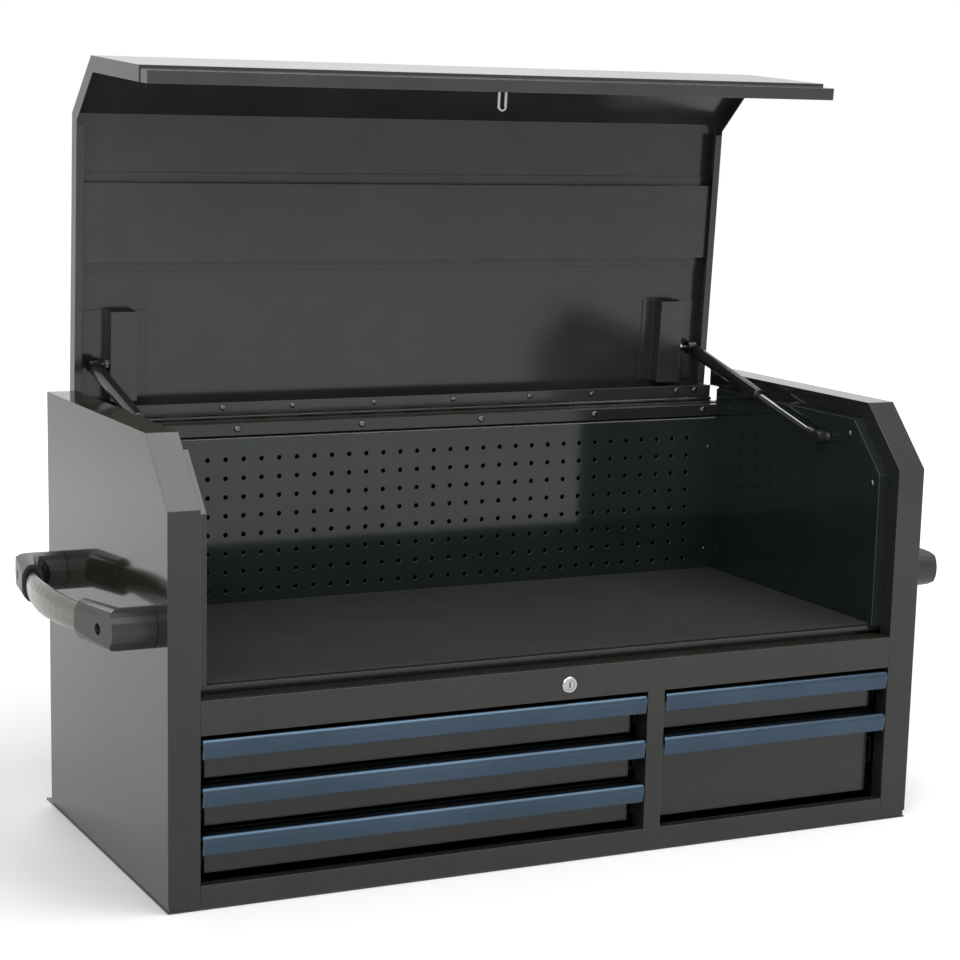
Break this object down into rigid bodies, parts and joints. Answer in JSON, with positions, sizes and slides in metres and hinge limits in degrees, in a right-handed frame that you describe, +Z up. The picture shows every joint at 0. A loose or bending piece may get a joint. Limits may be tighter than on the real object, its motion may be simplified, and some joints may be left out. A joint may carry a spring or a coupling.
{
  "type": "top tool chest",
  "caption": "Steel top tool chest with an open perforated till under a strut-held lid, drawers on ball-bearing slides, side handles and a cam lock.",
  "frame": {"origin": "centre of the cabinet's width and depth on the flat underside of the base", "axes": "+X to the chest's right seen from the front, along its width over the handles; -Y out of the drawer fronts; +Z up"},
  "size_m": [1.2066, 0.517, 0.9804],
  "materials": {
    "frame_paint": "satin",
    "side_paint": "gloss",
    "lid_paint": "satin",
    "till_paint": "gloss",
    "drawer_paint": "satin",
    "hinge_steel": "satin",
    "zinc_steel": "zinc plated",
    "blue_aluminium": "anodised satin",
    "mat_rubber": "matt",
    "black_cylinder": "gloss black",
    "chrome": "polished",
    "handle_plastic": "satin moulded",
    "handle_aluminium": "polished"
  },
  "bodies": {
    "cabinet": {"side_shell_left": "side_paint", "side_shell_right": "side_paint", "back_panel": "side_paint", "base_pan": "frame_paint", "face_frame": "frame_paint", "slide_rack_left": "zinc_steel", "slide_rack_right": "zinc_steel", "centre_partition": "zinc_steel", "till_floor": "till_paint", "floor_mat": "mat_rubber", "side_liner_left": "till_paint", "side_liner_right": "till_paint", "peg_back": "till_paint", "rear_rail": "frame_paint", "hinge_fixed_leaf": "hinge_steel", "hinge_pin": "zinc_steel", "ball_stud_left": "chrome", "ball_stud_right": "chrome", "lock_housing": "chrome", "handle_front_elbow_left": "handle_plastic", "handle_rear_elbow_left": "handle_plastic", "handle_bar_left": "handle_aluminium", "handle_front_elbow_right": "handle_plastic", "handle_rear_elbow_right": "handle_plastic", "handle_bar_right": "handle_aluminium"},
    "lid": {"lid_shell": "lid_paint", "lid_channel": "lid_paint", "hinge_lid_leaf": "hinge_steel", "strut_bracket_left": "lid_paint", "strut_bracket_right": "lid_paint", "lid_catch": "chrome"},
    "strut_rod_left": {"strut_rod_left": "chrome"},
    "strut_cylinder_left": {"strut_cylinder_left": "black_cylinder"},
    "strut_rod_right": {"strut_rod_right": "chrome"},
    "strut_cylinder_right": {"strut_cylinder_right": "black_cylinder"},
    "lock_core": {"lock_plug": "chrome", "lock_cam": "zinc_steel"},
    "drawer_1": {"drawer_box_1": "drawer_paint", "drawer_pull_1": "blue_aluminium"},
    "slide_runners_1": {"slide_runner_1_left": "zinc_steel", "slide_runner_1_right": "zinc_steel"},
    "drawer_2": {"drawer_box_2": "drawer_paint", "drawer_pull_2": "blue_aluminium"},
    "slide_runners_2": {"slide_runner_2_left": "zinc_steel", "slide_runner_2_right": "zinc_steel"},
    "drawer_3": {"drawer_box_3": "drawer_paint", "drawer_pull_3": "blue_aluminium"},
    "slide_runners_3": {"slide_runner_3_left": "zinc_steel", "slide_runner_3_right": "zinc_steel"},
    "drawer_4": {"drawer_box_4": "drawer_paint", "drawer_pull_4": "blue_aluminium"},
    "slide_runners_4": {"slide_runner_4_left": "zinc_steel", "slide_runner_4_right": "zinc_steel"},
    "drawer_5": {"drawer_box_5": "drawer_paint", "drawer_pull_5": "blue_aluminium"},
    "slide_runners_5": {"slide_runner_5_left": "zinc_steel", "slide_runner_5_right": "zinc_steel"}
  },
  "joints": [
    {"name": "lid_hinge", "type": "hinge", "parent": "cabinet", "child": "lid", "pos_m": [0, 0.2353, 0.5118], "axis": [1, 0, 0], "range_deg": [0, 86.5]},
    {"name": "strut_swing_left", "type": "hinge", "parent": "cabinet", "child": "strut_rod_left", "pos_m": [-0.455, -0.0871, 0.4992], "axis": [1, 0, 0], "range_deg": [-5.68, 0]},
    {"name": "strut_slide_left", "type": "slide", "parent": "strut_rod_left", "child": "strut_cylinder_left", "axis": [0, -0.9695, -0.2452], "range_m": [0, 0.1011]},
    {"name": "strut_swing_right", "type": "hinge", "parent": "cabinet", "child": "strut_rod_right", "pos_m": [0.455, -0.0871, 0.4992], "axis": [1, 0, 0], "range_deg": [-5.68, 0]},
    {"name": "strut_slide_right", "type": "slide", "parent": "strut_rod_right", "child": "strut_cylinder_right", "axis": [0, -0.9695, -0.2452], "range_m": [0, 0.1011]},
    {"name": "lock_turn", "type": "hinge", "parent": "cabinet", "child": "lock_core", "pos_m": [0, -0.2385, 0.2291], "axis": [0, 1, 0], "range_deg": [0, 90]},
    {"name": "drawer_slide_1", "type": "slide", "parent": "cabinet", "child": "drawer_1", "axis": [0, -1, 0], "range_m": [0, 0.375]},
    {"name": "runner_slide_1", "type": "slide", "parent": "cabinet", "child": "slide_runners_1", "axis": [0, -1, 0], "range_m": [0, 0.1875]},
    {"name": "drawer_slide_2", "type": "slide", "parent": "cabinet", "child": "drawer_2", "axis": [0, -1, 0], "range_m": [0, 0.375]},
    {"name": "runner_slide_2", "type": "slide", "parent": "cabinet", "child": "slide_runners_2", "axis": [0, -1, 0], "range_m": [0, 0.1875]},
    {"name": "drawer_slide_3", "type": "slide", "parent": "cabinet", "child": "drawer_3", "axis": [0, -1, 0], "range_m": [0, 0.375]},
    {"name": "runner_slide_3", "type": "slide", "parent": "cabinet", "child": "slide_runners_3", "axis": [0, -1, 0], "range_m": [0, 0.1875]},
    {"name": "drawer_slide_4", "type": "slide", "parent": "cabinet", "child": "drawer_4", "axis": [0, -1, 0], "range_m": [0, 0.375]},
    {"name": "runner_slide_4", "type": "slide", "parent": "cabinet", "child": "slide_runners_4", "axis": [0, -1, 0], "range_m": [0, 0.1875]},
    {"name": "drawer_slide_5", "type": "slide", "parent": "cabinet", "child": "drawer_5", "axis": [0, -1, 0], "range_m": [0, 0.375]},
    {"name": "runner_slide_5", "type": "slide", "parent": "cabinet", "child": "slide_runners_5", "axis": [0, -1, 0], "range_m": [0, 0.1875]}
  ],
  "couplings": [
    {"joint": "strut_swing_left", "follows": "lid_hinge", "ratio": -0.065607},
    {"joint": "strut_slide_left", "follows": "lid_hinge", "m_per_rad": 0.066914},
    {"joint": "strut_swing_right", "follows": "lid_hinge", "ratio": -0.065607},
    {"joint": "strut_slide_right", "follows": "lid_hinge", "m_per_rad": 0.066914},
    {"joint": "runner_slide_1", "follows": "drawer_slide_1", "ratio": 0.5},
    {"joint": "runner_slide_2", "follows": "drawer_slide_2", "ratio": 0.5},
    {"joint": "runner_slide_3", "follows": "drawer_slide_3", "ratio": 0.5},
    {"joint": "runner_slide_4", "follows": "drawer_slide_4", "ratio": 0.5},
    {"joint": "runner_slide_5", "follows": "drawer_slide_5", "ratio": 0.5}
  ]
}
